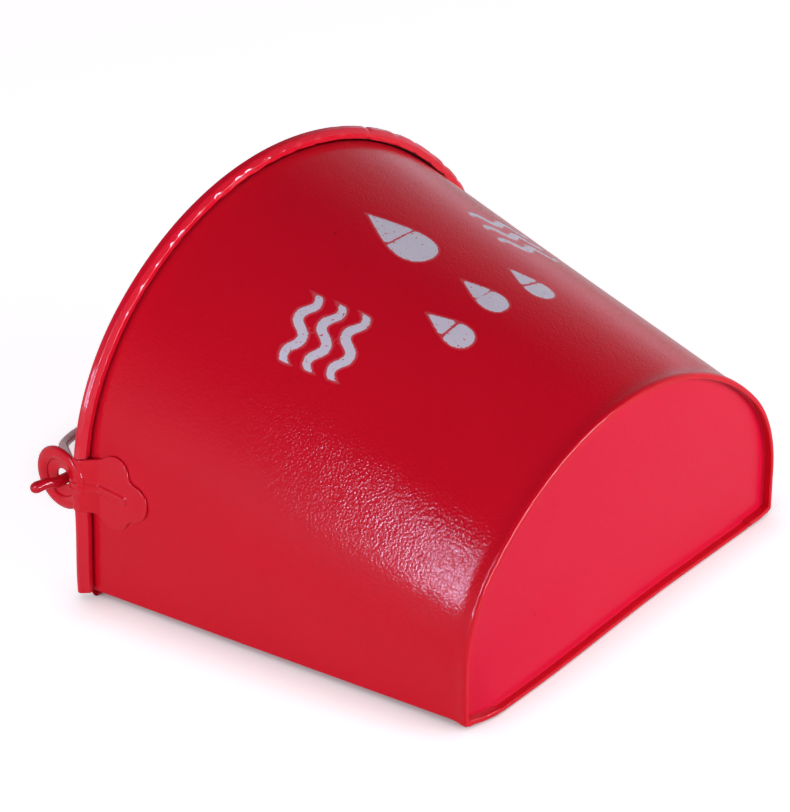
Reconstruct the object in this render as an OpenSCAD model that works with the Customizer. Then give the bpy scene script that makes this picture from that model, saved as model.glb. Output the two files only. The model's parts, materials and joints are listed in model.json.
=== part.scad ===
// Half-round fire bucket in painted sheet steel, lying on its flat back.
// The curved front sheet carries a wired, rolled rim; the back is a flat sheet.
// +Z is up out of the flat back, the mouth faces +Y and the base faces -Y.
// The origin is on the floor, under the middle of the outer box.

/* [Body] */
// Height of the bucket, from the base edge to the top of the rim
height = 220; // [190:1:250]
// Half width of the front sheet at the base
base_half_w = 126; // [118:0.5:132]
// Height of the crown at the base, above the floor
base_depth = 118.5; // [112:0.5:126]
// Half width of the front sheet at the mouth
mouth_half_w = 153; // [148:0.5:160]
// Height of the crown at the mouth, above the floor
mouth_depth = 190; // [182:0.5:200]
// Crown radius at the base, as a multiple of the half width
base_crown = 1.19; // [1.12:0.01:1.24]
// Crown radius at the mouth, as a multiple of the half width
mouth_crown = 1.085; // [1.05:0.005:1.13]
// Thickness of the sheet steel
sheet = 0.6; // [0.5:0.05:0.7]
// Width of the laps that fold under the back
lap_w = 20; // [14:1:26]

/* [Rim and base edge] */
// Diameter of the wire in the front rim
wire_d = 5.5; // [4.5:0.1:6]
// Room between the wire and the rolled sheet
wire_gap = 0.3; // [0.28:0.01:0.4]
// How far the rolled sheet goes round the wire, in degrees
roll_turn = 310; // [280:5:320]
// Height of the folded edge under the base
bead_h = 5.6; // [5:0.1:7]
// How far the base plate sits up inside the folded edge
recess = 6.4; // [6.2:0.1:9]

/* [Ears and bail] */
// Height of the ear holes above the floor
ear_z = 66; // [62:0.5:72]
// Distance of the ear holes beyond the top of the rim
ear_out = 8.5; // [7.5:0.1:11]
// Width of the ear's neck, where it crosses the rim
neck_w = 28; // [24:0.5:30]
// Outer radius of the ear's eye
eye_r = 16.5; // [15:0.1:18]
// Radius of the hole in the eye
eye_hole_r = 4.2; // [3.8:0.1:4.6]
// Width of the dish round the hole
dish_w = 6; // [5:0.1:7]
// Depth of the dish at the hole
dish = 1.3; // [0.8:0.1:1.5]
// Height of the rounded ring round the dish
ring_h = 1.2; // [0.6:0.1:1.5]
// Thickness of the ear plate
ear_t = 1.2; // [1:0.05:1.5]
// Diameter of the bail rod
rod_d = 5.5; // [5:0.1:6.2]
// Half width of the bail inside the bends of its hooks
bail_half_w = 147; // [142:0.5:147.5]
// Angle of the bail's straight legs from the line through the eyes
bail_lean = 56; // [54:0.5:60]
// Radius of the bail's rounded top, to the middle of the rod
bail_top_r = 100; // [90:1:110]
// Bend radius where each leg of the bail turns out into its hook
hook_r = 5; // [4.4:0.1:6]
// Straight length of each hook outside the eye
hook_out = 5; // [4.5:0.5:9]
// Angle of the bend near the end of each hook, in degrees
hook_turn = 24; // [18:1:60]
// Length of the bent end of each hook, without its round tip
hook_end = 3.5; // [3:0.5:10]

/* [Hidden] */
$fn = 72;
red = [0.78, 0.05, 0.1];
steel = [0.6, 0.61, 0.63];
turn = 45;                           // where the crown arc passes into the side arcs
lift = 3;                            // the laps' height above the floor
wire_r = wire_d / 2;
roll_i = wire_r + wire_gap;          // inner radius of the rolled sheet
roll_o = roll_i + sheet;
roll_y = height - roll_o;            // plane of the wire
back_z = lift + sheet + 0.05;        // outer face of the back sheet
back_top = back_z + sheet;
hem_o = back_top / 2;                // rolled hem of the back sheet
hem_i = hem_o - sheet;
bead_in = 2.4;                       // folded base edge, inward and outward
bead_out = 0.8;
back_fold = 0.6;                     // rise of the back's folded edge above the back
fold_r = lift;                       // the folded edge's bend at the back corners
rod_r = rod_d / 2;
ball_over = 0.03;                    // how far the balls in the bail's rod stand proud
pivot_y = height + ear_out;
pivot_z = ear_z - (eye_hole_r - rod_r - 0.05);   // the rod hangs on the hole's lower edge
leg_x = bail_half_w + hook_r - hook_r * sin(bail_lean);      // where a leg of the bail begins
leg = (leg_x - bail_top_r * sin(bail_lean)) / cos(bail_lean);
leg_y = hook_r * (1 - cos(bail_lean)) + leg * sin(bail_lean);
bail_h = leg_y + bail_top_r * (1 - cos(bail_lean));
droop = asin((pivot_z - rod_r) / bail_h);        // the bail's bow lies on the floor
mid_y = (pivot_y + bail_h * cos(droop) + rod_r) / 2;

// Section of the front sheet, which changes evenly from the base to the rim.
function mix(a, b, y) = a + (b - a) * y / roll_y;
function side_r(w, k) = w * (1 - k * sin(turn)) / (1 - sin(turn));
r1b = base_half_w * base_crown;
r1m = mouth_half_w * mouth_crown;
r2b = side_r(base_half_w, base_crown);
r2m = side_r(mouth_half_w, mouth_crown);
function half_w(y) = mix(base_half_w, mouth_half_w, y);
function crown_r(y) = mix(r1b, r1m, y);
function crown_z(y) = mix(base_depth - r1b, mouth_depth - r1m, y);
function arc_r(y) = mix(r2b, r2m, y);
function arc_x(y) = half_w(y) - arc_r(y);
function arc_z(y) = crown_z(y) + (crown_r(y) - arc_r(y)) * cos(turn);

// Stations round the front sheet: 0 is the crown arc, 1 a side arc, 2 a foot.
arc_n = 11;
crown_n = 24;
around = concat(
    [[-2, -90]],
    [for (i = [0:arc_n]) [-1, -90 + (90 - turn) * i / arc_n]],
    [for (i = [1:crown_n]) [0, -turn + 2 * turn * i / crown_n]],
    [for (i = [1:arc_n]) [1, turn + (90 - turn) * i / arc_n]],
    [[2, 90]]);

// A point n outside the sheet's outer face, at y, on the section of height s.
function at(st, n, y, s, foot) =
    let (k = st[0], a = st[1],
         cx = k == 0 ? 0 : sign(k) * (abs(k) == 1 ? arc_x(s) : half_w(s)),
         cz = k == 0 ? crown_z(s) : abs(k) == 1 ? arc_z(s) : foot,
         r = (k == 0 ? crown_r(s) : abs(k) == 1 ? arc_r(s) : 0) + n)
    [cx + r * sin(a), y, cz + r * cos(a)];

// A strip of paired points, swept from station to station and closed at its ends.
module strip(rows) {
    m = len(rows[0]);
    n = len(rows);
    polyhedron(
        points = [for (r = rows) for (p = r) p],
        faces = concat(
            [for (i = [0:n - 2]) for (j = [0:m - 1]) let (k = (j + 1) % m)
                for (q = [0, 1]) q == 0 ? [i * m + j, i * m + k, (i + 1) * m + k]
                                        : [i * m + j, (i + 1) * m + k, (i + 1) * m + j]],
            [for (e = [0, n - 1]) for (j = [0:m / 2 - 2])
                let (a = e * m + j, b = e * m + j + 1,
                     c = e * m + m - 2 - j, d = e * m + m - 1 - j)
                for (q = [0, 1])
                    e == 0 ? (q == 0 ? [a, c, b] : [a, d, c])
                           : (q == 0 ? [a, b, c] : [a, c, d])]));
}

// The sheet's edge view: outer and inner points as [outward, y, height of the section].
roll_n = 9;
function roll_at(r, i) =
    let (a = 180 - roll_turn * i / roll_n) [roll_i + r * cos(a), roll_y + r * sin(a), roll_y];
sheet_out = concat(
    [[-0.3, 0, 0], [0.45, 0.3, 0.3], [bead_out, 1.1, 1.1], [bead_out, bead_h - 1, bead_h - 1],
     [0.5, bead_h, bead_h], [0, bead_h + 1, bead_h + 1]],
    [for (i = [0:roll_n]) roll_at(roll_i, i)]);
sheet_in = concat(
    [[-1.3, 0, 0], [-bead_in + 0.35, 0.3, 0.3], [-bead_in, 1.1, 1.1],
     [-bead_in, bead_h - 1, bead_h - 1], [-1.8, bead_h - 0.3, bead_h - 0.3],
     [-sheet, bead_h, bead_h]],
    [for (i = [0:roll_n]) roll_at(roll_o, i)]);
function edge_row(st) = concat(
    [for (p = sheet_out) at(st, p[0], p[1], p[2], lift)],
    [for (i = [len(sheet_in) - 1:-1:0]) let (p = sheet_in[i]) at(st, p[0], p[1], p[2], lift)]);

module placed() translate([0, -mid_y, 0]) children();

// Lap under the back, with the folded base edge carried round the corner.
module lap() {
    y1 = roll_y - 5;
    translate([0, 0, lift + 0.02]) linear_extrude(sheet - 0.02)
        polygon([[base_half_w - lap_w, bead_h - 1], [half_w(bead_h - 1) - sheet / 2, bead_h - 1],
                 [half_w(y1) - sheet / 2, y1], [half_w(y1) - lap_w, y1]]);
    translate([0, bead_h, 0]) rotate([90, 0, 0]) linear_extrude(bead_h) union() {
        x = base_half_w + bead_out - fold_r;
        translate([base_half_w - lap_w, 0]) square([lap_w + bead_out - fold_r, lift + sheet]);
        translate([x - 0.1, lift]) square([fold_r + 0.1, sheet]);
        intersection() {
            translate([x, fold_r]) circle(fold_r);
            translate([x - 0.1, 0]) square([fold_r + 0.1, fold_r + 0.1]);
        }
    }
}

// Gap in the rolled rim, where the ear's neck lies over the bare wire.
module rim_gap() translate([0, roll_y + 10, 0]) rotate([90, 0, 0]) linear_extrude(11 + roll_o)
    difference() {
        translate([arc_x(roll_y), ear_z - neck_w / 2 - 0.6]) square([mouth_half_w, neck_w + 1.2]);
        translate([arc_x(roll_y), arc_z(roll_y)]) circle(r2m + 0.05);
        square([mouth_half_w + 0.05, arc_z(roll_y)]);
    }

// Curved front: wall, rolled rim, folded base edge and the two laps.
module front_shell() color(red) placed() union() {
    difference() {
        strip([for (st = around) edge_row(st)]);
        rim_gap();
        mirror([1, 0, 0]) rim_gap();
    }
    lap();
    mirror([1, 0, 0]) lap();
}

// Flat back with its rolled mouth hem and its folded base edge.
hem_n = 20;
function hem_at(r, i) =
    let (a = 90 - 296 * i / hem_n) [height - hem_o + r * cos(a), hem_o + r * sin(a)];
module back_panel() color(red) placed() difference() {
    intersection() {
        translate([-half_w(height), 0, 0]) rotate([90, 0, 90]) linear_extrude(2 * half_w(height))
            polygon(concat(
                [[0.8, 0], [0, 0.8], [0, back_top - 0.2], [0.8, back_top + back_fold],
                 [bead_h - 0.8, back_top + back_fold], [bead_h, back_top]],
                [for (i = [0:hem_n]) hem_at(hem_o, i)],
                [for (i = [hem_n:-1:0]) hem_at(hem_i, i)],
                [[bead_h, back_z], [bead_h, 0.8], [bead_h - 0.8, 0]]));
        linear_extrude(20) polygon([for (s = [-1, 1]) for (e = [0, 1])
            let (y = (s * (e - 0.5) > 0) ? height : 0)
            [s * (half_w(y) - sheet - 0.1), y]]);
    }
    for (s = [0, 1]) mirror([s, 0, 0]) {
        translate([base_half_w - lap_w - 0.1, -1, -1]) cube([60, bead_h + 2, back_z + 1]);
        translate([base_half_w - bead_in - 0.1, -1, -1]) cube([60, bead_h + 1.1, 20]);
    }
}

// Base plate: a shallow pan that rests on the folded edge.
module base_plate() {
    loop = around;
    n = len(loop);
    y0 = bead_h + 0.05;
    z0 = back_top + 0.05;
    ring = [[-sheet - 0.1, y0, z0], [-sheet - 0.1, recess + 0.1, z0],
            [-sheet - 0.6, recess + sheet, z0 + 0.5],
            [-2 * sheet - 0.1, recess, z0 + sheet], [-2 * sheet - 0.1, y0, z0 + sheet]];
    color(red) placed() polyhedron(
        points = [for (r = ring) for (st = loop) at(st, r[0], r[1], r[1], r[2])],
        faces = concat(
            [for (e = [[0, 1], [1, 2], [3, 4], [4, 0]]) for (i = [0:n - 1]) let (k = (i + 1) % n)
                for (q = [0, 1]) q == 0 ? [e[0] * n + i, e[0] * n + k, e[1] * n + k]
                                        : [e[0] * n + i, e[1] * n + k, e[1] * n + i]],
            [for (i = [1:n - 2]) [2 * n, 2 * n + i, 2 * n + i + 1]],
            [for (i = [1:n - 2]) [3 * n, 3 * n + i + 1, 3 * n + i]]));
}

// Wire inside the rolled front rim.
module rim_wire() color(steel) placed() translate([0, roll_y, 0]) rotate([90, 0, 0]) union() {
    translate([0, crown_z(roll_y), 0]) rotate([0, 0, 90 - turn])
        rotate_extrude(angle = 2 * turn) translate([r1m + roll_i, 0]) circle(wire_r);
    for (s = [0, 1]) mirror([s, 0, 0]) {
        translate([arc_x(roll_y), arc_z(roll_y), 0])
            rotate_extrude(angle = 90 - turn) translate([r2m + roll_i, 0]) circle(wire_r);
        translate([mouth_half_w + roll_i, lift + 0.5, 0]) rotate([-90, 0, 0])
            cylinder(r = wire_r, h = arc_z(roll_y) - lift - 0.5);
    }
}

// Ear: a three-lobed plate that hugs the wall, steps over the rim's wire and ends in an eye.
eye_n = roll_i + 0.5;                // inner face of the eye, out from the wall
function wall_x(y, z) = let (d = z - arc_z(y)) half_w(y)
    - (d <= 0 ? 0 : arc_r(y) - sqrt(arc_r(y) * arc_r(y) - d * d));
function lean(y, z) = let (d = z - arc_z(y)) d <= 0 ? 1 : sqrt(1 - pow(d / arc_r(y), 2));
over = roll_o + 0.15;                // reach of the step past the wire's plane
over_n = roll_i + wire_r + 0.2;      // inner face of the step, out from the wall
ear_rows = [
    // [y from the wire, inner face, wall section used, share of the rib]
    [-52, 0.1, 0, 0], [-26, 0.1, 0, 0], [-23, 0.1, 0, 1], [-over - 4.8, 0.1, 0, 1],
    [-1.5, over_n, 1, 1], [1.5, over_n, 1, 1],
    [over + 1.5, eye_n, 2, 1], [over + 5.2, eye_n, 2, 0]];
ear_zs = [-31, -24, -18, -13, -8, -4, -2.6, -1.7, -0.8, 0.8, 1.7, 2.6, 4, 8, 13, 18, 24, 28];
function rib(dz) = abs(dz) < 1 ? 0.5 : abs(dz) < 2 ? 1.1 : 0;
lobe = [-28.3, 9.8];                 // far lobe: place from the wire, and radius
side_lobe = [-16.9, 10.2, 9.4];      // side lobes: place from the wire, height, radius
sag = 0.15;                          // how far the plate on the wall leans down, per length
function drop(from_wire) = sag * min(from_wire, 0);
function ear_pt(r, dz, face) =
    let (y = roll_y + r[0], z = ear_z + dz + drop(r[0]), ys = min(y, roll_y),
         shift = face == 0 ? 0 : r[0] < -20 ? 0 : r[0] < -3 ? -0.5 : r[0] < 5 ? 0.5 * sign(r[0]) : 0.6,
         n = r[1] + face * (ear_t + r[3] * rib(dz)))
    [r[2] == 2 ? mouth_half_w + n : wall_x(ys, z) + n / lean(ys, z), y + shift, z];
eye_y = roll_y + over + 1.6;         // where the neck passes into the eye
dish_r = eye_hole_r + dish_w;
eye_line = concat(                   // the eye's outer face: dish, then the rounded ring
    [[eye_hole_r, ear_t - dish], [dish_r - 1, ear_t - 0.3]],
    [for (i = [0:6]) let (t = i / 6)
        [dish_r + (eye_r - dish_r) * t, ear_t + ring_h * sin(180 * t) - 0.3 * t]]);
module past_neck() intersection() {
    children();
    translate([100, eye_y, 0]) cube([100, 100, 200]);
}
module ear() {
    difference() {
        intersection() {
            strip([for (dz = ear_zs) concat(
                [for (i = [len(ear_rows) - 1:-1:0]) ear_pt(ear_rows[i], dz, 1)],
                [for (i = [0:len(ear_rows) - 1]) ear_pt(ear_rows[i], dz, 0)])]);
            translate([100, roll_y, ear_z]) rotate([90, 0, 90]) linear_extrude(100)
                offset(r = -5) offset(r = 5) union() {
                    for (s = [-1, 1])
                        translate([side_lobe[0], side_lobe[1] * s + drop(side_lobe[0])])
                            circle(side_lobe[2]);
                    translate([lobe[0], drop(lobe[0])]) circle(lobe[1]);
                    translate([side_lobe[0], -neck_w / 2]) square([50, neck_w]);
                }
        }
        past_neck() translate([100, pivot_y, ear_z]) rotate([0, 90, 0]) cylinder(r = 13, h = 100);
    }
    boss_y = roll_y + lobe[0] + 4;
    boss_z = ear_z + drop(lobe[0] + 4);
    translate([wall_x(boss_y, boss_z) + 0.4, boss_y, boss_z]) rotate([0, 90, 0])
        cylinder(r1 = 2.8, r2 = 1.6, h = ear_t + 0.8);
    past_neck() translate([mouth_half_w + eye_n, pivot_y, ear_z]) rotate([0, 90, 0])
        rotate_extrude() polygon(concat(
            [for (p = eye_line) [p[0], p[1] - ear_t]],
            [for (i = [len(eye_line) - 1:-1:0]) eye_line[i]]));
}
module ear_left() color(red) placed() mirror([1, 0, 0]) ear();
module ear_right() color(red) placed() ear();

// A straight length of the bail's rod, from the origin towards -Y, with a ball in each end that
// joins it to the bend or rounds it off.
module straight(length) {
    rotate([90, 0, 0]) cylinder(r = rod_r, h = length);
    for (y = [0, -length]) translate([0, y, 0]) sphere(rod_r + ball_over);
}

// A bend of the bail's rod to its left, and what follows it.
module bend(r, angle) {
    translate([r, 0, 0]) rotate([0, 0, 180]) rotate_extrude(angle = angle)
        translate([r, 0]) circle(rod_r);
    translate([r, 0, 0]) rotate([0, 0, angle]) translate([-r, 0, 0]) children();
}

// Bail: one bent rod. Straight legs lean in to a rounded top, and the hooks pass out through
// the eyes and bend away.
module bail() color(red) placed() translate([0, pivot_y, pivot_z]) rotate([-droop, 0, 0])
    translate([0, bail_h - bail_top_r, 0]) union() {
    run = mouth_half_w + eye_n + ear_t + ring_h + hook_out - bail_half_w - hook_r;
    rotate([0, 0, 90 - bail_lean]) rotate_extrude(angle = 2 * bail_lean)
        translate([bail_top_r, 0]) circle(rod_r);
    for (s = [0, 1]) mirror([s, 0, 0]) rotate([0, 0, 90 - bail_lean]) translate([bail_top_r, 0, 0]) {
        straight(leg);
        translate([0, -leg, 0]) bend(hook_r, bail_lean) {
            straight(run);
            translate([0, -run, 0]) bend(2 * rod_d, hook_turn) straight(hook_end);
        }
    }
}

front_shell();
back_panel();
base_plate();
rim_wire();
ear_left();
ear_right();
bail();
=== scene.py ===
"""Half-round fire bucket in gloss red enamel, lying on its flat back with its bail on the floor.

Lengths are in millimetres until a mesh is made. Y is counted from the base edge towards the
mouth, and Z from the floor. A station is a place round the curved front, in degrees of the
section's arcs: 0 is the crown, 45 the shoulder, 90 the foot of the arc, and past that the flat
leg, the bend and the lap under the back.
"""
import json
import math

import bmesh
import bpy
import numpy as np
from mathutils import Matrix, Vector

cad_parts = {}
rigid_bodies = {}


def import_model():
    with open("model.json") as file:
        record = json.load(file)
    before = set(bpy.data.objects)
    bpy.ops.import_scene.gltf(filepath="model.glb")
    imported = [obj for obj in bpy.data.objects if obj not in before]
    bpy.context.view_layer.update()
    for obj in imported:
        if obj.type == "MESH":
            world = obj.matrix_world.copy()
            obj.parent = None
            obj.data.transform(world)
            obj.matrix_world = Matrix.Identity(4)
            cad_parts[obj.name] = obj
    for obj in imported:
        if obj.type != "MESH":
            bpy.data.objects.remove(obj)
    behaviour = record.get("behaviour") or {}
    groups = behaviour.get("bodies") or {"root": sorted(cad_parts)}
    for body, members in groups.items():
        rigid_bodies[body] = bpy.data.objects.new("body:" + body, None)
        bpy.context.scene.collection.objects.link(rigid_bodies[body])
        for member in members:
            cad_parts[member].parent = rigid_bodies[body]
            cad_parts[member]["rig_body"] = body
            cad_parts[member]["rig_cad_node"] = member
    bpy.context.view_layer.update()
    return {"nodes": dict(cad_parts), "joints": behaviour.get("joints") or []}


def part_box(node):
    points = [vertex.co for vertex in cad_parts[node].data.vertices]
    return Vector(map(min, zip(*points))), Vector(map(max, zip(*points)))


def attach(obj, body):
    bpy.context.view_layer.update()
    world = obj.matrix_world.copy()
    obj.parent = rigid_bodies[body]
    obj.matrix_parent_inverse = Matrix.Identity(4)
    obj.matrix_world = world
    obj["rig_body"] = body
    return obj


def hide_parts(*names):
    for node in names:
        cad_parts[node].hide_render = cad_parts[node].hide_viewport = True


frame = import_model()

MM = 0.001
MERGE, CAD_MERGE = 2e-7, 1e-6
BASE_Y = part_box("back_panel")[0].y / MM
SWING = frame["joints"][0]["pos_m"]

# Driving sizes of the sheet metal, and the room between faces that lie on each other.
HEIGHT = 220.0
BASE_HALF_W, BASE_DEPTH, BASE_CROWN = 126.0, 118.5, 1.19
MOUTH_HALF_W, MOUTH_DEPTH, MOUTH_CROWN = 153.0, 190.0, 1.085
SHEET = 0.6
LIFT = 3.0
WIRE_R, WIRE_GAP = 2.75, 0.3
ROLL_I = WIRE_R + WIRE_GAP
ROLL_O = ROLL_I + SHEET
ROLL_Y = HEIGHT - ROLL_O
BEND_R = 1.2
LAP_W = 20.0
CLEAR = 0.1

# Stations where the section changes its form, and how far they go.
SHOULDER, FOOT, LEG_END, BEND_END = 45.0, 90.0, 120.0, 126.0
LAP_END = BEND_END + LAP_W - BEND_R

# How far the foot of the rim leans out, and the height and the way up the bucket that it needs.
LEAN_OUT, LEAN_TOP, LEAN_SPAN = 4.2, 58.0, 56.0
LEAN_FROM, LEAN_RISE = 120.0, 92.0

# Slow waves of hand-rolled sheet: height, degrees round, mm up and phase.
SHEET_WAVES = ((0.16, 13.0, 47.0, 0.6), (0.12, 7.3, -61.0, 2.1), (0.09, 23.0, 23.0, 4.0))


def smooth(t):
    """Smooth step: three t squared less two t cubed, held at 0 and 1 outside."""
    t = np.clip(t, 0.0, 1.0)
    return t * t * (3.0 - 2.0 * t)


def taper(base, mouth, y):
    """A size that grows evenly from the base edge to the rim."""
    return base + (mouth - base) * y / ROLL_Y


def side_radius(half_w, crown):
    """Radius of the side arc that meets the crown arc at 45 degrees and the leg upright."""
    s = math.sin(math.radians(SHOULDER))
    return half_w * (1.0 - crown * s) / (1.0 - s)


def section(station, y, out):
    """Point on the front sheet: crown arc, side arc, flat leg, bend and lap, pushed out by out.

    The crown arc has radius R1 about a centre on the middle plane. The side arc has radius R2
    about a centre on the line that joins them at 45 degrees. All four change evenly with y.
    """
    station, y, out = np.broadcast_arrays(station, y, out)
    k = np.abs(station)
    half_w = taper(BASE_HALF_W, MOUTH_HALF_W, y)
    r1_base, r1_mouth = BASE_HALF_W * BASE_CROWN, MOUTH_HALF_W * MOUTH_CROWN
    r1 = taper(r1_base, r1_mouth, y)
    z1 = taper(BASE_DEPTH - r1_base, MOUTH_DEPTH - r1_mouth, y)
    r2 = taper(side_radius(BASE_HALF_W, BASE_CROWN), side_radius(MOUTH_HALF_W, MOUTH_CROWN), y)
    x2 = half_w - r2
    z2 = z1 + (r1 - r2) * math.cos(math.radians(SHOULDER))
    a = np.radians(np.minimum(k, FOOT))
    turn = np.radians(90.0 * (k - LEG_END) / (BEND_END - LEG_END))
    leg = (k - FOOT) / (LEG_END - FOOT)
    zones = [k <= SHOULDER, k <= FOOT, k <= LEG_END, k <= BEND_END]
    x = np.select(
        zones,
        [(r1 + out) * np.sin(a), x2 + (r2 + out) * np.sin(a), half_w + out,
         half_w - BEND_R + (BEND_R + out) * np.cos(turn)],
        half_w - BEND_R - (k - BEND_END))
    z = np.select(
        zones,
        [z1 + (r1 + out) * np.cos(a), z2 + (r2 + out) * np.cos(a),
         z2 + (LIFT + BEND_R - z2) * leg,
         LIFT + BEND_R - (BEND_R + out) * np.sin(turn)],
        LIFT - out)
    return np.stack([np.copysign(x, station), y, z], -1)


def foot_reach(y, z):
    """How far the rim leans out past its plane towards the floor, in mm.

    It is a smooth step of the way down to the floor times one of the way up the bucket.
    """
    return LEAN_OUT * smooth((LEAN_TOP - z) / LEAN_SPAN) * smooth((y - LEAN_FROM) / LEAN_RISE)


def dents(station, y):
    """Slow unevenness of hand-rolled sheet: crossed sine waves, in mm, none at its edges."""
    wave = sum(high * np.sin(station / wide + y / tall + start)
               for high, wide, tall, start in SHEET_WAVES)
    return wave * smooth((FOOT + 8.0 - np.abs(station)) / 20.0) * smooth((y - 8.0) / 30.0)


def piece(name, points, material, body="bucket", close_rows=False, close_columns=False,
          caps=False, replaces=(), flip=False, marks=None):
    """One smooth mesh from a grid of points, rows by columns by 3, joined into quads.

    Marks, where given, is a number for each point, which a material reads by the name marks.
    """
    rows, columns = points.shape[:2]
    index = np.arange(rows * columns).reshape(rows, columns)
    grid = np.vstack([index, index[:1]]) if close_rows else index
    grid = np.hstack([grid, grid[:, :1]]) if close_columns else grid
    corners = [grid[:-1, :-1], grid[:-1, 1:], grid[1:, 1:], grid[1:, :-1]]
    faces = np.stack(corners, -1).reshape(-1, 4).tolist()
    if caps:
        half = columns // 2
        for row in (index[0], index[-1][::-1]):
            faces += [[row[j], row[-1 - j], row[-2 - j], row[j + 1]] for j in range(half - 1)]
    placed = (points.reshape(-1, 3) + [0.0, BASE_Y, 0.0]) * MM
    mesh = bpy.data.meshes.new(name)
    mesh.from_pydata(placed.tolist(), [], faces)
    if marks is not None:
        mesh.attributes.new("marks", "FLOAT", "POINT").data.foreach_set("value", marks.ravel())
    shape = bmesh.new()
    shape.from_mesh(mesh)
    bmesh.ops.remove_doubles(shape, verts=shape.verts, dist=MERGE)
    bmesh.ops.recalc_face_normals(shape, faces=shape.faces)
    if flip:
        bmesh.ops.reverse_faces(shape, faces=shape.faces)
    shape.to_mesh(mesh)
    shape.free()
    mesh.shade_smooth()
    made = bpy.data.objects.new(name, mesh)
    bpy.context.scene.collection.objects.link(made)
    made.data.materials.append(material)
    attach(made, body)
    if replaces:
        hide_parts(*replaces)
    return made


def linear(code):
    """sRGB hex colour, such as C8102E, as linear RGBA."""
    parts = [int(code[i:i + 2], 16) / 255 for i in (0, 2, 4)]
    return [c / 12.92 if c <= 0.04045 else ((c + 0.055) / 1.055) ** 2.4 for c in parts] + [1.0]


def add(tree, kind, inputs=None, **settings):
    """Adds a node with its settings, and fills or links its sockets."""
    node = tree.nodes.new(kind)
    for key, value in settings.items():
        setattr(node, key, value)
    for key, value in (inputs or {}).items():
        if isinstance(value, bpy.types.NodeSocket):
            tree.links.new(value, node.inputs[key])
        else:
            node.inputs[key].default_value = value
    return node


def per_mm(size):
    """Texture scale that gives a feature of this size in millimetres."""
    return 1.0 / (size * MM)


def new_material(name):
    """An empty node material and its tree."""
    made = bpy.data.materials.new(name)
    made.use_nodes = True
    made.node_tree.nodes.clear()
    return made, made.node_tree


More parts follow.
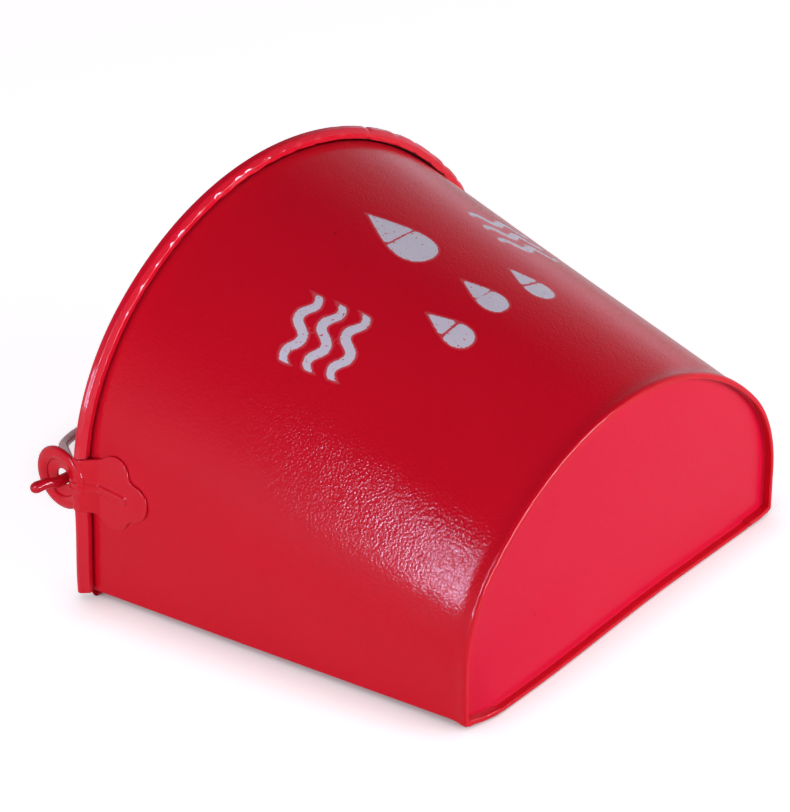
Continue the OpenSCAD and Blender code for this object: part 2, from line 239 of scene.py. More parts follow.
def red_enamel(name, colour, shade, peel=1.25, peel_depth=0.1, ripple_depth=0.1,
               roughness=0.12, gloss=0.24, stencil=False):
    """Gloss stoving enamel sprayed on sheet steel: a deep red under a glassy skin.

    The skin has the orange peel of enamel sprayed thick, low domes a little over 1 mm across,
    which breaks every highlight into grains, and slow ripples from the sheet below. A few dust
    specks lie under it. Where stencil is true, white paint lies over the red as far as the
    marks of the piece are above nought, thick enough to hide the peel, with a ragged edge, a
    faint sprayed fringe and pinholes.
    """
    made, tree = new_material(name)
    place = add(tree, "ShaderNodeTexCoord").outputs["Object"]
    cloud = add(tree, "ShaderNodeTexNoise", {"Vector": place, "Scale": per_mm(70), "Detail": 3.0})
    tint = add(tree, "ShaderNodeMix", {"Factor": cloud.outputs["Fac"], "A": linear(colour),
                                       "B": linear(shade)}, data_type="RGBA")
    domes = add(tree, "ShaderNodeTexVoronoi", {"Vector": place, "Scale": per_mm(peel),
                                               "Smoothness": 0.7}, feature="SMOOTH_F1")
    ripple = add(tree, "ShaderNodeTexNoise", {"Vector": place, "Scale": per_mm(9), "Detail": 1.0})
    slow = add(tree, "ShaderNodeBump", {"Height": ripple.outputs["Fac"], "Strength": 1.0,
                                        "Distance": ripple_depth * MM})
    fine = add(tree, "ShaderNodeBump", {
        "Height": domes.outputs["Distance"], "Strength": 1.0, "Distance": peel_depth * MM,
        "Normal": slow.outputs[0]}, invert=True)
    specks = add(tree, "ShaderNodeTexVoronoi", {"Vector": place, "Scale": per_mm(26)})
    near = add(tree, "ShaderNodeMath", {0: specks.outputs["Distance"], 1: 0.02},
               operation="LESS_THAN")
    dusty = add(tree, "ShaderNodeMix", {"Factor": near.outputs[0], "A": tint.outputs["Result"],
                                        "B": linear("8E0A16")}, data_type="RGBA")
    skin = add(tree, "ShaderNodeBsdfPrincipled", {
        "Base Color": dusty.outputs["Result"], "Roughness": roughness, "IOR": 1.45,
        "Specular IOR Level": gloss, "Normal": fine.outputs[0]})
    surface = skin
    if stencil:
        depth = add(tree, "ShaderNodeAttribute", attribute_name="marks").outputs["Fac"]
        ragged = add(tree, "ShaderNodeTexNoise", {"Vector": place, "Scale": per_mm(1.6),
                                                  "Detail": 3.0, "Roughness": 0.6})
        shift = add(tree, "ShaderNodeMath", {0: ragged.outputs["Fac"], 1: 1.1, 2: -0.55},
                    operation="MULTIPLY_ADD")
        rough_depth = add(tree, "ShaderNodeMath", {0: depth, 1: shift.outputs[0]}, operation="ADD")
        solid = add(tree, "ShaderNodeMapRange", {"Value": rough_depth.outputs[0],
                                                 "From Min": -0.12, "From Max": 0.12})
        fringe = add(tree, "ShaderNodeMapRange", {"Value": rough_depth.outputs[0],
                                                  "From Min": -1.5, "From Max": 0.3,
                                                  "To Max": 0.16})
        holes = add(tree, "ShaderNodeTexNoise", {"Vector": place, "Scale": per_mm(1.9),
                                                 "Detail": 2.0})
        whole = add(tree, "ShaderNodeMapRange", {"Value": holes.outputs["Fac"],
                                                 "From Min": 0.30, "From Max": 0.335})
        covered = add(tree, "ShaderNodeMath", {0: solid.outputs[0], 1: whole.outputs[0]},
                      operation="MULTIPLY")
        cover = add(tree, "ShaderNodeMath", {0: covered.outputs[0], 1: fringe.outputs[0]},
                    operation="MAXIMUM")
        white = add(tree, "ShaderNodeMix", {"Factor": cloud.outputs["Fac"], "A": linear("DEDDE6"),
                                            "B": linear("D6CCDD")}, data_type="RGBA")
        lumps = add(tree, "ShaderNodeTexNoise", {"Vector": place, "Scale": per_mm(3.0),
                                                 "Detail": 2.0})
        ridge = add(tree, "ShaderNodeBump", {"Height": covered.outputs[0], "Strength": 1.0,
                                             "Distance": 0.06 * MM})
        uneven = add(tree, "ShaderNodeBump", {"Height": lumps.outputs["Fac"], "Strength": 1.0,
                                              "Distance": 0.12 * MM, "Normal": ridge.outputs[0]})
        paint = add(tree, "ShaderNodeBsdfPrincipled", {
            "Base Color": white.outputs["Result"], "Roughness": 0.38, "IOR": 1.45,
            "Specular IOR Level": 0.3, "Normal": uneven.outputs[0]})
        surface = add(tree, "ShaderNodeMixShader", {0: cover.outputs[0], 1: skin.outputs[0],
                                                    2: paint.outputs[0]})
    add(tree, "ShaderNodeOutputMaterial", {"Surface": surface.outputs[0]})
    return made


def drawn_wire(name):
    """Bright drawn mild steel wire: grey metal, with fine lines and a dull film of drawing soap."""
    made, tree = new_material(name)
    place = add(tree, "ShaderNodeTexCoord").outputs["Object"]
    film = add(tree, "ShaderNodeTexNoise", {"Vector": place, "Scale": per_mm(6), "Detail": 3.0})
    tone = add(tree, "ShaderNodeMix", {"Factor": film.outputs["Fac"], "A": linear("8F8D8A"),
                                       "B": linear("5F5B57")}, data_type="RGBA")
    gloss = add(tree, "ShaderNodeMapRange", {"Value": film.outputs["Fac"], "To Min": 0.28,
                                             "To Max": 0.5})
    lines = add(tree, "ShaderNodeTexNoise", {"Vector": place, "Scale": per_mm(0.4)})
    fine = add(tree, "ShaderNodeBump", {"Height": lines.outputs["Fac"], "Strength": 0.5,
                                        "Distance": 0.02 * MM})
    metal = add(tree, "ShaderNodeBsdfPrincipled", {
        "Base Color": tone.outputs["Result"], "Metallic": 1.0, "Roughness": gloss.outputs[0],
        "Normal": fine.outputs[0]})
    add(tree, "ShaderNodeOutputMaterial", {"Surface": metal.outputs[0]})
    return made


front_enamel = red_enamel("gloss_red_enamel_with_white_stencil", "DC1128", "D00F24", stencil=True)
sheet_enamel = red_enamel("gloss_red_enamel_on_sheet", "DC1128", "D00F24")
# The base plate's enamel has more blue than the same enamel on the sheet: a painted pinkish
# reflection.
pan_enamel = red_enamel("satin_red_enamel_with_painted_reflection_on_base_plate", "DC1038", "D60F34", peel=1.9,
                        peel_depth=0.06, roughness=0.26, gloss=0.22)
# The rolled edge's enamel is a lighter, bluer red than the same enamel on the sheet: painted light
# on the roll.
roll_enamel = red_enamel("gloss_red_enamel_with_painted_light_on_rolled_edge", "E41430", "DA1129", peel=2.4,
                         peel_depth=0.03, ripple_depth=0.1, roughness=0.1, gloss=0.55)
plate_enamel = red_enamel("thick_red_enamel_on_pressings", "DE1228", "D21025", peel=2.4,
                          peel_depth=0.04, ripple_depth=0.16, roughness=0.12, gloss=0.35)
rod_enamel = red_enamel("thin_red_enamel_on_rod", "D41228", "C00F22", peel=1.4, peel_depth=0.04,
                        ripple_depth=0.14, roughness=0.16, gloss=0.35)
bare_wire = drawn_wire("drawn_steel_wire")


# The front sheet: its folded base edge, the flare above that, and its laps.
BEAD_H, BEAD_IN = 5.6, 1.7
FLARE_Y, FLARE_END, FLARE_POWER = 11.0, 2.6, 2.5
INNER_R = 0.7
LAP_TOP, LAP_SAG = 211.5, 1.1
BENT_OUT, BENT_LENGTH, BENT_FADE = 3.5, 165.0, 125.0

# The white marks, in mm along the wall: the two signs of waves and the drops.
MARKS_Y = 130.0
SIGNS = ((-79.0, 126.0, 14.0), (71.0, 126.0, -14.0))
WAVE_ROWS, WAVE_LENGTH, WAVE_HEIGHT, WAVE_REACH = (-12.5, 0.0, 12.5), 20.0, 2.9, 19.0
BRUSH, BRUSH_TAPER = 2.6, 0.04
DROPS = ((-4.0, 141.0, 27.0, 42.0), (-36.0, 84.0, 17.0, 27.0), (-4.0, 88.0, 17.0, 27.0),
         (28.0, 84.0, 17.0, 27.0))
BRIDGE_DROP, BRIDGE_HALF = 1.0, 0.75
NO_MARK = -9.0


def sheet_edge_view():
    """Edge view of the front sheet as (out, y): down the outside, round the fold, up inside.

    The wall flares like a trumpet: its way out grows with a power of the way down. The folded
    edge under it is flat, with a round outer corner and a tighter inner one.
    """
    down = [(0.0, y) for y in np.linspace(ROLL_Y, FLARE_Y, 92)]
    flare = [(((FLARE_Y - y) / (FLARE_Y - FLARE_END)) ** FLARE_POWER, y)
             for y in np.linspace(FLARE_Y, FLARE_END, 14)[1:]]
    outer = [(1.08, 2.0), (1.12, 1.35), (1.07, 0.8), (0.93, 0.38), (0.68, 0.1), (0.4, 0.0)]
    flat = [(0.0, 0.0), (-0.5, 0.0), (-1.0, 0.0)]
    inner = [(INNER_R - BEAD_IN - INNER_R * math.sin(a), INNER_R - INNER_R * math.cos(a))
             for a in np.radians(np.linspace(15, 90, 6))]
    step = [(-BEAD_IN, 2.4), (-BEAD_IN, BEAD_H - 0.4), (-BEAD_IN + 0.3, BEAD_H),
            (-SHEET, BEAD_H + 1.0)]
    up = [(-SHEET, y) for y in np.linspace(BEAD_H + 2.0, ROLL_Y, 40)]
    line = np.array(down + flare + outer + flat + inner + step + up)
    return line[:, 0], line[:, 1]


def inside_outline(across, up, outline):
    """How far each point lies inside a closed outline, in mm: less than nought outside it.

    The distance to the outline is the least over its straight sides. A point is inside where a
    ray across the page crosses an odd number of sides.
    """
    here = np.stack([across, up], -1)[..., None, :]
    start, end = outline, np.roll(outline, -1, axis=0)
    side = end - start
    along = np.clip(((here - start) * side).sum(-1) / (side ** 2).sum(-1), 0.0, 1.0)
    gap = np.linalg.norm(here - start - along[..., None] * side, axis=-1).min(-1)
    low, high = np.minimum(start[:, 1], end[:, 1]), np.maximum(start[:, 1], end[:, 1])
    height = here[..., 1]
    meet = start[:, 0] + (height - start[:, 1]) * side[:, 0] / np.where(
        side[:, 1] == 0, 1e-9, side[:, 1])
    crossed = ((height > low) & (height <= high) & (meet > here[..., 0])).sum(-1)
    return np.where(crossed % 2 == 1, gap, -gap)


def water_drop(wide, tall):
    """Outline of a water drop: x is sin t times the 1.6th power of sin half t, y is cos t."""
    t = np.linspace(0.0, 2.0 * math.pi, 61)[:-1]
    x = wide / 2 * 1.3 * np.sin(t) * np.sin(t / 2) ** 1.6
    return np.stack([x, tall / 2 * np.cos(t)], -1)


def stencil_marks(station, y):
    """How far each point of the wall lies inside the white marks, in mm.

    Two signs for water, of three waves each, stand either side of a large drop, and three small
    drops lie under them. A wave is a sine curve as thick as a brush stroke. A narrow bridge
    crosses each drop, as the card of a stencil leaves it.
    """
    ring = section(station[:, 0], MARKS_Y, 0.0)
    steps = np.linalg.norm(np.diff(ring, axis=0), axis=1)
    arc = np.concatenate([[0.0], np.cumsum(steps)])
    arc -= np.interp(0.0, station[:, 0], arc)
    across, up = np.broadcast_arrays(arc[:, None], y)
    depth = np.full(across.shape, NO_MARK)
    for middle, foot, lean in SIGNS:
        tilt = math.radians(lean)
        u = (across - middle) * math.cos(tilt) + (up - foot) * math.sin(tilt)
        v = (up - foot) * math.cos(tilt) - (across - middle) * math.sin(tilt)
        turn = 2.0 * math.pi * u / WAVE_LENGTH
        slope = WAVE_HEIGHT * 2.0 * math.pi / WAVE_LENGTH * np.cos(turn)
        brush = BRUSH - BRUSH_TAPER * np.abs(u)
        for row in WAVE_ROWS:
            off = np.abs(v - row - WAVE_HEIGHT * np.sin(turn)) / np.hypot(1.0, slope)
            depth = np.maximum(depth, np.minimum(brush - off, WAVE_REACH - np.abs(u)))
    for middle, foot, wide, tall in DROPS:
        drop = inside_outline(across - middle, up - foot, water_drop(wide, tall))
        bridge = BRIDGE_HALF - np.abs(up - foot + BRIDGE_DROP)
        depth = np.maximum(depth, np.minimum(drop, -bridge))
    return depth


def lap_bend(x):
    """How far the base edge under the back is bent out at x, in mm.

    It grows along the left lap from nought at the corner and dies away slowly past its end.
    """
    corner = x + BASE_HALF_W
    return BENT_OUT * smooth(corner / LAP_W) * smooth((BENT_LENGTH - corner) / BENT_FADE)


def front_sheet():
    """Front sheet: its edge view carried round the stations, from lap to lap.

    At the base edge the left lap is bent out past the edge, more and more towards its end.
    """
    out, y = sheet_edge_view()
    wall = np.concatenate([np.linspace(-LEG_END, -55.0, 91), np.linspace(-54.4, 54.4, 201),
                           np.linspace(55.0, LEG_END, 91)])
    turn = np.linspace(LEG_END, BEND_END, 8)[1:]
    lap = np.linspace(BEND_END, LAP_END, 16)[1:]
    ends = np.concatenate([turn, lap])
    station = np.concatenate([-ends[::-1], wall, ends])[:, None]
    inward = smooth((np.abs(station) - LEG_END - 2.0) / 4.0)
    y_cut = y * (1.0 - inward * (ROLL_Y - LAP_TOP) / ROLL_Y)
    points = section(station, y_cut, out + dents(station, y_cut))
    low = smooth((np.abs(station) - BEND_END + 1.0) / 10.0) * smooth((9.0 - y_cut) / 4.0)
    points[..., 2] -= low * LAP_SAG
    points[..., 1] -= lap_bend(points[..., 0]) * smooth((16.0 - y_cut) / 10.0) * inward
    points[..., 1] += foot_reach(points[..., 1], points[..., 2])
    marks = np.where(out > -SHEET + 0.1, stencil_marks(station, y), NO_MARK)
    return piece("front_sheet", points, front_enamel, close_columns=True,
                 caps=True, replaces=["front_shell"], marks=marks.astype(np.float32))


# The rolled rim: its gaps at the ears, as stations and heights.
GAP_TOP, GAP_FOOT = 79.4, 91.2
GAP_TOP_Z, GAP_FOOT_Z = 80.15, 51.85

# Its free edge, in degrees round the wire from the wall, and where the sheet starts to rise
# towards it and to open or close.
FREE_EDGE, EDGE_FROM, TAIL = 306.0, 168.0, 264.0

# Its flats, as degrees up from outwards and distance from the wire. The outer one turns.
TOP_FLATS = ((48.0, 3.75), (122.0, 3.75))
WHEEL_FLATS = ((-52.0, 3.5), (-104.0, 3.35))
FOOT_FLATS = ((-42.0, 3.4),)
OUTER_TURN, OUTER_MORE, OUTER_REACH = -17.0, -8.5, 3.72
LEAST_COS, FAR = 0.3, 9.0

# The hammer's dents, in mm round the rim from the crown.
CRIMP_GAP, CRIMP_WIDTH = 12.0, 2.2
HAMMERED = (-133.0, -118.0, -104.5, -92.0, -84.7, -70.0, -56.5, -41.3, -34.0, -20.3, -8.5, 3.0,
            17.4, 36.2, 57.9, 82.6, 100.7, 115.9)


def rim_length(station):
    """Length along the rim from the crown, in mm, by adding up the steps between stations."""
    path = section(station, ROLL_Y, ROLL_I)
    steps = np.linalg.norm(np.diff(path, axis=0), axis=1)
    length = np.concatenate([[0.0], np.cumsum(steps)])
    return length - np.interp(0.0, station, length)


def crimps(length, seed):
    """Dents left by the beading hammer, as bell curves, uneven in place, width and depth.

    The middle of the rim has its own row of them. Past it they lie about evenly.
    """
    dice = np.random.default_rng(seed)
    row = np.array(HAMMERED)
    rest = np.arange(length[0] + 5.0, length[-1] - 3.0, CRIMP_GAP)
    rest = rest + dice.uniform(-3.0, 3.0, len(rest))
    rest = rest[(rest < row[0] - 8.0) | (rest > row[-1] + 8.0)]
    places = np.concatenate([row, rest])
    past = smooth((places - 10.0) / 30.0)
    depths = dice.uniform(0.35, 1.0, len(places)) * np.where(places < -140.0, 0.35, 1.0)
    depths = depths * (1.0 + 0.5 * past)
    widths = CRIMP_WIDTH * dice.uniform(0.7, 1.35, len(places))
    bells = np.exp(-(((length[:, None] - places) / widths) ** 2))
    return (bells * depths).sum(1)


def rim_roll(name, first, last, count, seed, pressed):
    """Sheet rolled round the wire: an open tube from the wall, over the top, to a free edge.

    The tube's edge view is the least of a circle and the flats left by the beading wheel, which
    face from outwards round to the base, with sharp ridges between them. The outermost turns
    down on the lower left. The hammer has rounded the ridges where it fell, and there the free
    edge falls in. The ends are cut level.
    """
    station = np.linspace(first, last, count)
    length = rim_length(station)
    dent = (crimps(length, seed) * pressed)[:, None]
    slow = (0.18 * np.sin(length / 21.0 + seed) + 0.12 * np.sin(length / 9.0 + 2 * seed)
            + 0.07 * np.sin(length / 3.4 + 3 * seed))[:, None]
    turn = np.concatenate([np.arange(0.0, 198.0, 4.5), np.arange(198.0, 250.0, 3.5),
                           np.arange(250.0, 262.0, 1.0),
                           np.arange(262.0, FREE_EDGE + 0.5, 4.0)])[None, :]
    reach = pressed * (10.0 * slow - 6.0 * dent)
    tail = np.maximum(turn - TAIL, 0.0) / (FREE_EDGE - TAIL)
    turned = 180.0 - turn - tail * reach
    angle = np.radians(turned)
    edge = smooth((turn - EDGE_FROM) / (FREE_EDGE - EDGE_FROM))
    radius = np.full(turned.shape, ROLL_O + 0.5)
    outer = (OUTER_TURN + OUTER_MORE * smooth((-54.0 - station) / 6.0))[:, None]
    low_flats = ((outer, OUTER_REACH),) + WHEEL_FLATS if pressed else FOOT_FLATS
    for faces_to, reach_out in low_flats + TOP_FLATS:
        off = np.radians(turned - faces_to)
        facing = np.cos(off)
        flat = np.where(facing > LEAST_COS, reach_out / np.maximum(facing, LEAST_COS), FAR)
        radius = np.minimum(radius, flat)
    round_off = np.clip(1.2 * dent, 0.0, 1.0) * smooth((-8.0 - turned) / 22.0)
    radius = radius + (ROLL_O + CLEAR - radius) * round_off
    past = smooth((length - 20.0) / 50.0)[:, None]
    pleat = dent * past * smooth((turned + 70.0) / 50.0) * smooth((150.0 - turned) / 50.0)
    radius = radius * (1.0 - 0.13 * pleat)
    radius = radius + edge * (0.15 * pressed - 0.35 * dent + 0.25 * slow * pressed)
    faces = []
    for r, bend in ((radius, angle), (radius[:, ::3] - SHEET - CLEAR, angle[:, ::3])):
        out = ROLL_I + r * np.cos(bend)
        y = ROLL_Y + r * np.sin(bend) + 0.2 * slow * pressed * past
        faces.append(section(station[:, None], np.full_like(out, ROLL_Y), out))
        faces[-1][..., 1] = y
        if pressed:
            faces[-1][..., 2] = np.maximum(faces[-1][..., 2], GAP_TOP_Z)
        else:
            faces[-1][..., 2] = np.minimum(faces[-1][..., 2], GAP_FOOT_Z)
    points = np.concatenate([faces[0], faces[1][:, ::-1]], 1)
    points[..., 1] += foot_reach(ROLL_Y, points[..., 2])
    return piece(name, points, roll_enamel, close_columns=True, caps=True)


def rim_rod():
    """Wire in the rolled rim: a circle carried along the rim from foot to foot."""
    station = np.linspace(-LEG_END + 2.0, LEG_END - 2.0, 400)[:, None]
    angle = np.radians(np.arange(0, 360, 22.5))[None, :]
    points = section(station, ROLL_Y, ROLL_I + WIRE_R * np.cos(angle))
    points[..., 1] = ROLL_Y + WIRE_R * np.sin(angle)
    points[..., 1] += foot_reach(ROLL_Y, points[..., 2])
    return piece("rim_rod", points, bare_wire, close_columns=True, caps=True,
                 replaces=["rim_wire"])


front_sheet()
rim_rod()
rim_roll("rim_roll_front", -GAP_TOP, GAP_TOP, 620, 3, 1.0)
rim_roll("rim_roll_left_foot", -LEG_END, -GAP_FOOT, 60, 5, 0.0)
rim_roll("rim_roll_right_foot", GAP_FOOT, LEG_END, 60, 6, 0.0)


# The base plate and the back sheet.
RECESS = 4.4
FILLET = 0.8
PLATE_MIDDLE_Z = 52.0
PUSHED_H, PUSHED_OUT = 46.0, 1.1
BACK_Z = 3.65
BACK_TOP = BACK_Z + SHEET
FOLD_END, FOLD_TOP = 5.75, 2.7
HEM_TURN = 296.0


def base_plate():
    """Base plate: rings shrink from the folded edge through a quarter-round fillet to the middle.

    Each ring is the section at that distance inside the edge, closed along the back. The flat
    middle has slow waves, about half a millimetre high. The lowest part is pushed out with the
    bent edge below it.
    """
    station = np.linspace(-LEG_END, LEG_END, 241)
    quarter = np.radians(np.linspace(0, 90, 9))
    inset = np.concatenate([[BEAD_IN - CLEAR], BEAD_IN - CLEAR + FILLET * (1 - np.cos(quarter))])
    height = np.concatenate([[2.6], RECESS - FILLET + FILLET * np.sin(quarter)])
    rings = []
    for d, y in zip(inset, height):
        ring = section(station, y, -d)
        foot = FOLD_TOP - 0.3 + d - BEAD_IN
        down = np.clip((np.abs(station) - FOOT) / (LEG_END - FOOT), 0, 1)
        top = section(FOOT, y, -d)[2]
        ring[:, 2] = np.where(down > 0, top + (foot - top) * down, ring[:, 2])
        across = np.linspace(ring[-1], ring[0], 82)[1:-1]
        rings.append(np.concatenate([ring, across]))
    outer = rings[-1]
    centre = np.array([0.0, RECESS, PLATE_MIDDLE_Z])
    for t in np.linspace(1.0, 0.0, 34)[1:] ** 0.8:
        ring = centre + (outer - centre) * t
        x, z = ring[:, 0], ring[:, 2]
        ring[:, 1] += (1.0 - t ** 3) * (0.35 * np.sin(x / 38.0 + 0.7) * np.cos(z / 31.0)
                                        + 0.2 * np.sin(z / 19.0 + x / 55.0))
        rings.append(ring)
    rings = np.array(rings)
    pushed = smooth((PUSHED_H - rings[..., 2]) / (PUSHED_H - 2.0))
    rings[..., 1] -= PUSHED_OUT * lap_bend(rings[..., 0]) * pushed
    made = piece("base_pan", rings, pan_enamel, close_columns=True,
                 replaces=["base_plate"], flip=True)
    wall = made.modifiers.new("sheet", "SOLIDIFY")
    wall.thickness = SHEET * MM
    wall.offset = -1.0
    return made


def back_sheet():
    """Back sheet: its edge view, fold, flat and rolled hem, carried across from side to side.

    The flat bows by a quarter of a millimetre, and the fold is thinner where it lies on a lap.
    """
    hem_o = BACK_TOP / 2
    turn = np.radians(90.0 - HEM_TURN * np.linspace(0, 1, 22))
    hem_outer = [(HEIGHT - hem_o + hem_o * math.cos(a), hem_o + hem_o * math.sin(a)) for a in turn]
    hem_i = hem_o - SHEET
    hem_inner = [(HEIGHT - hem_o + hem_i * math.cos(a), hem_o + hem_i * math.sin(a))
                 for a in turn[::-1]]
    fold = [(5.6, 2.0), (5.6, 1.0), (5.3, 0.55), (4.8, 0.4), (3.0, 0.4), (1.0, 0.4), (0.5, 0.5),
            (0.27, 0.8), (0.2, 1.3), (0.2, 1.9), (0.35, 2.4), (0.8, FOLD_TOP), (3.0, FOLD_TOP),
            (4.9, FOLD_TOP), (5.4, 3.3), (5.7, BACK_TOP)]
    inside = [(y, BACK_TOP) for y in np.linspace(8.0, HEIGHT - hem_o - 2, 40)]
    outside = [(y, BACK_Z) for y in np.linspace(HEIGHT - hem_o - 2, 6.0, 40)]
    line = np.array(fold + inside + hem_outer + hem_inner + outside)
    y, z = line[:, 0], line[:, 1]
    across = np.linspace(-1.0, 1.0, 141)[:, None]
    reach = np.where(y < FOLD_END, BASE_HALF_W - BEAD_IN - 0.2,
                     taper(BASE_HALF_W, MOUTH_HALF_W, y) - SHEET - CLEAR)
    x = across * reach
    over_lap = smooth((np.abs(x) - BASE_HALF_W + LAP_W + 2.0) / 3.0) * (y < FOLD_END)
    z = z + over_lap * (1.2 - 0.5 * z)
    bow = 0.25 * np.sin(x / 41.0) * np.sin(y / 52.0) * ((y > 9) & (y < 208))
    bent = lap_bend(x) * smooth((8.0 - y) / 3.0)
    points = np.stack([x, y - bent, z + bow], -1)
    return piece("back_sheet", points, sheet_enamel, close_columns=True,
                 replaces=["back_panel"])


base_plate()
back_sheet()


# The ears: the pressed plates, with every corner rounded under thick enamel.
VOXEL, SOFTEN_TURNS = 0.38, 10
EAR_GAP, EAR_T = 0.5, 1.2
PIVOT_Y, EYE_Z = HEIGHT + 8.5, 66.0
EYE_R, RING_HALF_W, RING_HALF_T, RING_OUT = 16.7, 3.5, 2.1, 1.0


def rounded_ear(side):
    """Ear: a merged copy of the pressed plate, remeshed and smoothed so that its corners round."""
    name = "ear_" + side
    made = frame["nodes"][name].copy()
    made.data = frame["nodes"][name].data.copy()
    made.name = made.data.name = "pressed_" + name
    made.parent = None
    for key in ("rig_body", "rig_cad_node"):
        if key in made:
            del made[key]
    bpy.context.scene.collection.objects.link(made)
    shape = bmesh.new()
    shape.from_mesh(made.data)
    bmesh.ops.remove_doubles(shape, verts=shape.verts, dist=CAD_MERGE)
    shape.to_mesh(made.data)
    shape.free()
    made.data.materials.clear()
    made.data.materials.append(plate_enamel)
    remesh = made.modifiers.new("even", "REMESH")
    remesh.mode = "VOXEL"
    remesh.voxel_size = VOXEL * MM
    remesh.use_smooth_shade = True
    soften = made.modifiers.new("soften", "SMOOTH")
    soften.factor = 0.5
    soften.iterations = SOFTEN_TURNS
    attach(made, "bucket")
    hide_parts(name)
    return made


def eye_ring(side, sign):
    """Thick rim of the ear's eye: an oval carried round the hole's axis, which lies across."""
    round_hole = np.radians(np.arange(0, 360, 5.0))[:, None]
    angle = np.radians(np.arange(0, 360, 20.0))[None, :]
    r = EYE_R - RING_HALF_W + RING_HALF_W * np.cos(angle)
    out = RING_OUT + RING_HALF_T * np.sin(angle)
    x = sign * (MOUTH_HALF_W + ROLL_I + EAR_GAP + out + 0 * round_hole)
    y = PIVOT_Y + r * np.cos(round_hole)
    z = EYE_Z + r * np.sin(round_hole)
    return piece("eye_ring_" + side, np.stack([x, y, z], -1), plate_enamel,
                 close_rows=True, close_columns=True)


rounded_ear("left")
rounded_ear("right")
eye_ring("left", -1.0)
eye_ring("right", 1.0)


# The bail.
ROD_R = 2.75
BAIL_HALF_W, LEAN, TOP_R, HOOK_R = 147.0, 56.0, 100.0, 5.0
HOOK_OUT, HOOK_TURN, HOOK_END, HOOK_BEND_R = 5.0, 24.0, 3.5, 11.0
HOOK_LIFT, END_SWELL = 1.9, 0.07
EYE_X = MOUTH_HALF_W + ROLL_I + EAR_GAP + 2 * EAR_T


def rod_line():
    """Middle line of the bail's right half in its own plane, from the middle of the top.

    It is walked in short steps: a heading turns evenly through each bend and holds on each
    straight, and the points are the running sum of the steps. Across comes first, then out.
    """
    leg = ((BAIL_HALF_W + HOOK_R - (HOOK_R + TOP_R) * math.sin(math.radians(LEAN)))
           / math.cos(math.radians(LEAN)))
    run = EYE_X + HOOK_OUT - BAIL_HALF_W - HOOK_R
    parts = [(TOP_R * math.radians(LEAN), -LEAN, 60), (leg, 0.0, 70),
             (HOOK_R * math.radians(LEAN), LEAN, 14), (run, 0.0, 16),
             (HOOK_BEND_R * math.radians(HOOK_TURN), HOOK_TURN, 8), (HOOK_END, 0.0, 8)]
    steps = np.concatenate([np.full(n, length / n) for length, _, n in parts])
    turns = np.concatenate([np.full(n, turn / n) for _, turn, n in parts])
    heading = np.radians(np.cumsum(turns) - turns / 2)
    walked = np.cumsum(steps[:, None] * np.stack([np.cos(heading), np.sin(heading)], -1), axis=0)
    line = np.vstack([[0.0, 0.0], walked])
    line[:, 1] -= line[-1 - parts[-1][2] - parts[-2][2], 1]
    return line


def bail():
    """Bail: a circle carried along the rod's middle line, with round, slightly swollen ends.

    The line lies in one plane, so each ring stands square to it in that plane.
    """
    right = rod_line()
    height = right[0, 1]
    line = np.concatenate([right[:0:-1] * [-1, 1], right])
    along = np.gradient(line, axis=0)
    along /= np.linalg.norm(along, axis=1, keepdims=True)
    side = np.stack([along[:, 1], -along[:, 0]], -1)
    from_end = np.minimum(np.arange(len(line)), np.arange(len(line))[::-1])
    radius = ROD_R * (1.0 + END_SWELL * np.exp(-((from_end - 2.0) / 5.0) ** 2))
    cap = np.radians([82.0, 64.0, 46.0, 28.0, 12.0])
    reach = ROD_R * np.sin(cap)[:, None]
    line = np.concatenate([line[0] - along[0] * reach, line, line[-1] + along[-1] * reach[::-1]])
    radius = np.concatenate([ROD_R * np.cos(cap), radius, ROD_R * np.cos(cap)[::-1]])
    side = np.concatenate([side[:1].repeat(len(cap), 0), side, side[-1:].repeat(len(cap), 0)])
    around = np.radians(np.arange(0, 360, 15.0))
    across = (radius[:, None] * np.cos(around))[..., None] * side[:, None, :] + line[:, None, :]
    lift = radius[:, None] * np.sin(around)
    pivot_y, pivot_z = SWING[1] / MM - BASE_Y, SWING[2] / MM
    droop = math.asin((pivot_z - ROD_R) / height)
    x, v = across[..., 0], across[..., 1]
    lift = lift + HOOK_LIFT * smooth((np.abs(line[:, :1]) - EYE_X - 1.5) / 7.0)
    y = pivot_y + v * math.cos(droop) + lift * math.sin(droop)
    z = pivot_z - v * math.sin(droop) + lift * math.cos(droop)
    return piece("bail_rod", np.stack([x, y, z], -1), rod_enamel, body="bail",
                 close_columns=True, caps=True, replaces=["bail"])


bail()


# The floor, the light and the camera. Places and sizes of the floor and lamps are in metres.
# CONTACT is the reach of the ambient occlusion that dims the floor's glow near the bucket, a
# painted contact shadow.
FLOOR_SIZE, CONTACT, GLOW, MIRRORED = 12.0, 0.03, 0.78, 0.35

# Where the room starts and ends to darken, as a ray's rise, and its strength there.
HORIZON, CEILING = (0.1, 1.05), (0.8, 0.05)

# The upright strips that glint in the front: place across, width and radiance of each.
GLINTS = (("glint_bright", -0.114, 0.026, 66.0), ("glint_middle", -0.078, 0.040, 13.0),
          ("glint_faint", -0.034, 0.046, 3.5))
GLINT_X, GLINT_LEAN, GLINT_LOW, GLINT_HIGH = -0.70, 0.049, 0.22, 0.92


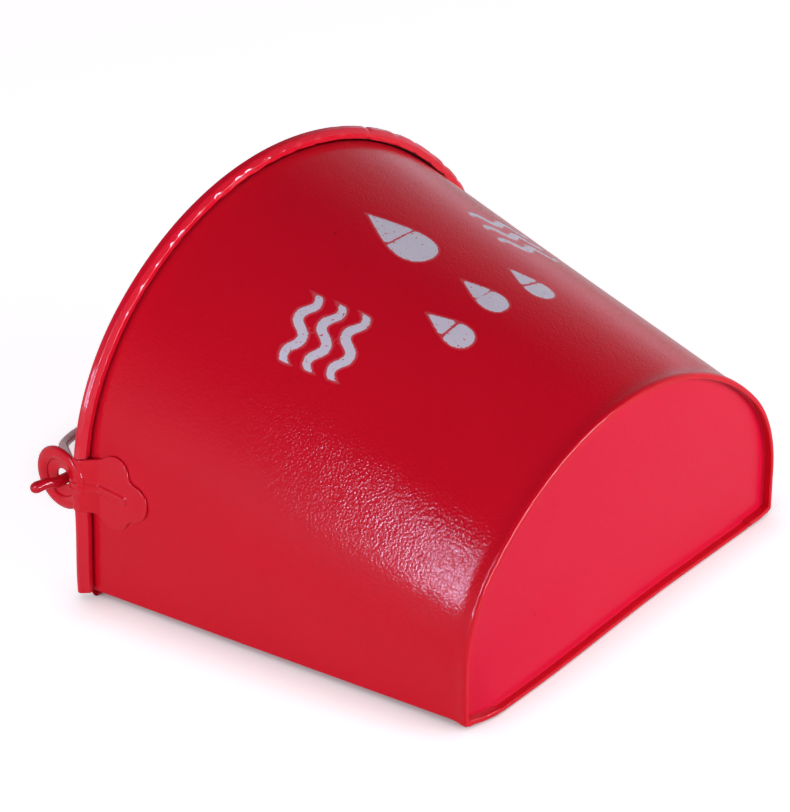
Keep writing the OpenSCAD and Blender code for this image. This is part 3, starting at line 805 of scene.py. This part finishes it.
def studio_floor():
    """Plain pale floor that shows white to the camera and keeps the bucket's soft shadow from the
    lamps, with a painted contact shadow where its glow dims near the bucket.

    Mirror rays see it part of the way to that white, as the enamel on a real floor would.
    """
    made, tree = new_material("pale_floor")
    ray = add(tree, "ShaderNodeLightPath")
    paper = add(tree, "ShaderNodeBsdfDiffuse", {"Color": linear("E6E4E5")})
    # Painted contact shadow: the white glow is multiplied by ambient occlusion, so it dims close to
    # the bucket.
    painted_contact_shadow = add(tree, "ShaderNodeAmbientOcclusion", {"Distance": CONTACT}, samples=8)
    level = add(tree, "ShaderNodeMath", {0: painted_contact_shadow.outputs["AO"], 1: GLOW},
                operation="MULTIPLY")
    glow = add(tree, "ShaderNodeEmission", {"Color": linear("FDFBFC"),
                                            "Strength": level.outputs[0]})
    seen = add(tree, "ShaderNodeAddShader", {0: paper.outputs[0], 1: glow.outputs[0]})
    bounce = add(tree, "ShaderNodeBsdfDiffuse", {"Color": linear("DCD8DA")})
    mirrored = add(tree, "ShaderNodeMath", {0: ray.outputs["Is Glossy Ray"], 1: MIRRORED},
                   operation="MULTIPLY")
    either = add(tree, "ShaderNodeMath", {0: ray.outputs["Is Camera Ray"],
                                          1: mirrored.outputs[0]}, operation="MAXIMUM")
    direct = add(tree, "ShaderNodeMath", {0: either.outputs[0],
                                          1: ray.outputs["Is Transmission Ray"]},
                 operation="MAXIMUM")
    mix = add(tree, "ShaderNodeMixShader", {0: direct.outputs[0], 1: bounce.outputs[0],
                                            2: seen.outputs[0]})
    add(tree, "ShaderNodeOutputMaterial", {"Surface": mix.outputs[0]})
    bpy.ops.mesh.primitive_plane_add(size=FLOOR_SIZE, location=(0, 0, 0))
    floor = bpy.context.object
    floor.name = "floor"
    floor.data.materials.append(made)


def studio_world():
    """Room with a pale horizon and a dark ceiling; white where the camera sees it."""
    world = bpy.data.worlds.new("room")
    bpy.context.scene.world = world
    world.use_nodes = True
    tree = world.node_tree
    tree.nodes.clear()
    ray = add(tree, "ShaderNodeLightPath")
    aim = add(tree, "ShaderNodeTexCoord").outputs["Generated"]
    rise = add(tree, "ShaderNodeSeparateXYZ", {0: aim}).outputs["Z"]
    level = add(tree, "ShaderNodeMapRange", {
        "Value": rise, "From Min": HORIZON[0], "From Max": CEILING[0], "To Min": HORIZON[1],
        "To Max": CEILING[1]})
    room = add(tree, "ShaderNodeBackground", {"Color": linear("EDE8F6"),
                                              "Strength": level.outputs[0]})
    white = add(tree, "ShaderNodeBackground", {"Color": linear("FFFDFE"), "Strength": 1.0})
    mix = add(tree, "ShaderNodeMixShader", {0: ray.outputs["Is Camera Ray"], 1: room.outputs[0],
                                            2: white.outputs[0]})
    add(tree, "ShaderNodeOutputWorld", {"Surface": mix.outputs[0]})


def flat_lamp(name, wide, tall, radiance, colour):
    """Rectangular lamp; its power is radiance times area times pi."""
    data = bpy.data.lights.new(name, "AREA")
    data.shape = "RECTANGLE"
    data.size, data.size_y = wide, tall
    data.energy = radiance * math.pi * data.size * data.size_y
    data.color = linear(colour)[:3]
    made = bpy.data.objects.new(name, data)
    bpy.context.scene.collection.objects.link(made)
    return made


def softbox(name, place, target, size, radiance, colour="FFFFFF"):
    """Soft light that faces its target, and that no mirror ray sees."""
    made = flat_lamp(name, *size, radiance, colour)
    made.visible_glossy = False
    made.location = place
    aim = Vector(target) - Vector(place)
    made.rotation_euler = aim.to_track_quat("-Z", "Y").to_euler()


def strip_lamp(name, low, high, target, width, radiance, colour):
    """Narrow lamp from a low point to a high one, turned about its own length to the target.

    It gives the glint in the enamel only. The soft light from the same side is a softbox's.
    """
    low, high, target = Vector(low), Vector(high), Vector(target)
    up = (high - low).normalized()
    back = (low + high) / 2 - target
    back = (back - up * back.dot(up)).normalized()
    made = flat_lamp(name, width, (high - low).length, radiance, colour)
    made.visible_diffuse = False
    turned = Matrix((up.cross(back), up, back)).transposed().to_4x4()
    made.matrix_world = Matrix.Translation((low + high) / 2) @ turned


studio_floor()
studio_world()
for name, across, width, radiance in GLINTS:
    strip_lamp(name, (GLINT_X, across + GLINT_LEAN, GLINT_LOW), (GLINT_X, across, GLINT_HIGH),
               (-0.05, -0.07, 0.1), width, radiance, "AEDAFF")
strip_lamp("front_glint", (-0.40, -1.3, 0.22), (0.95, -1.3, 0.88), (-0.1, 0.04, 0.14), 0.28, 40.0,
           "F4E8FA")
softbox("window_light", (-1.05, -0.05, 0.30), (0.0, -0.05, 0.06), (0.7, 0.5), 4.2, "F8F4FF")
softbox("front_fill", (0.40, -1.35, 0.36), (0.0, -0.1, 0.05), (1.1, 0.6), 6.2)

# The photograph's camera: turned, raised, rolled and moved from the middle of the bucket.
AZIMUTH, ELEVATION, ROLL = map(math.radians, (-48.527, 26.922, -1.473))
DISTANCE, SLIDE_X, SLIDE_Y = 1140.2, -31.6, 70.7
FOCAL_PX, LONG_SIDE_PX = 2205.8, 812.0
SENSOR = 36.0


def photo_camera():
    """Camera at the photograph's angle, with its own roll and slide and no lens shift."""
    level = math.cos(ELEVATION)
    back = Vector((math.sin(AZIMUTH) * level, -math.cos(AZIMUTH) * level, math.sin(ELEVATION)))
    right = (-back).cross(Vector((0, 0, 1))).normalized()
    up = right.cross(-back)
    across = right * math.cos(ROLL) + up * math.sin(ROLL)
    over = up * math.cos(ROLL) - right * math.sin(ROLL)
    middle = Vector((0.0, BASE_Y + HEIGHT / 2, 0.0))
    place = middle + back * DISTANCE + across * SLIDE_X + over * SLIDE_Y
    data = bpy.data.cameras.new("camera")
    data.sensor_width = SENSOR
    data.lens = FOCAL_PX * SENSOR / LONG_SIDE_PX
    made = bpy.data.objects.new("camera", data)
    bpy.context.scene.collection.objects.link(made)
    turned = Matrix((across, over, back)).transposed().to_4x4()
    made.matrix_world = Matrix.Translation(place * MM) @ turned
    bpy.context.scene.camera = made


photo_camera()
bpy.context.scene.view_settings.view_transform = "Standard"
